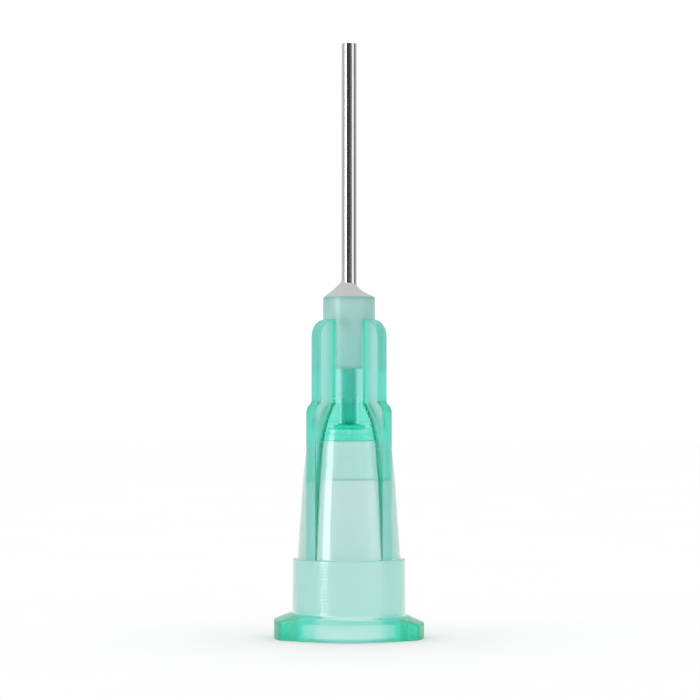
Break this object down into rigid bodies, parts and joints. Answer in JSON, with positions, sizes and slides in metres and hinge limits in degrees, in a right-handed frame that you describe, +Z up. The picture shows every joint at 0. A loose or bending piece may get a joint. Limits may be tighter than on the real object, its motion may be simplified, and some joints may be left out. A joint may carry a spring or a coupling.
{
  "type": "dispensing needle tip",
  "caption": "Blunt dispensing needle: a straight steel tube bonded into a finned, translucent moulded hub with a luer-lock socket, for metering flux, adhesive, grease or ink.",
  "frame": {"origin": "on the hub's axis, at the plane of the luer socket's mouth on which the part stands", "axes": "+Z up the axis towards the cannula's free end; X along the line of the lock flange's lugs; Y across it"},
  "size_m": [0.0078, 0.0064, 0.0309],
  "materials": {
    "green_polypropylene": "translucent green polypropylene, semi-gloss, as moulded, with fine turned rings on the nose and collar",
    "stainless_tube": "bright drawn stainless steel with fine lengthwise streaks",
    "epoxy": "cured whitish-grey epoxy, satin, slightly translucent"
  },
  "bodies": {
    "root": {"hub": "green_polypropylene", "cannula": "stainless_tube", "adhesive": "epoxy"}
  },
  "joints": []
}
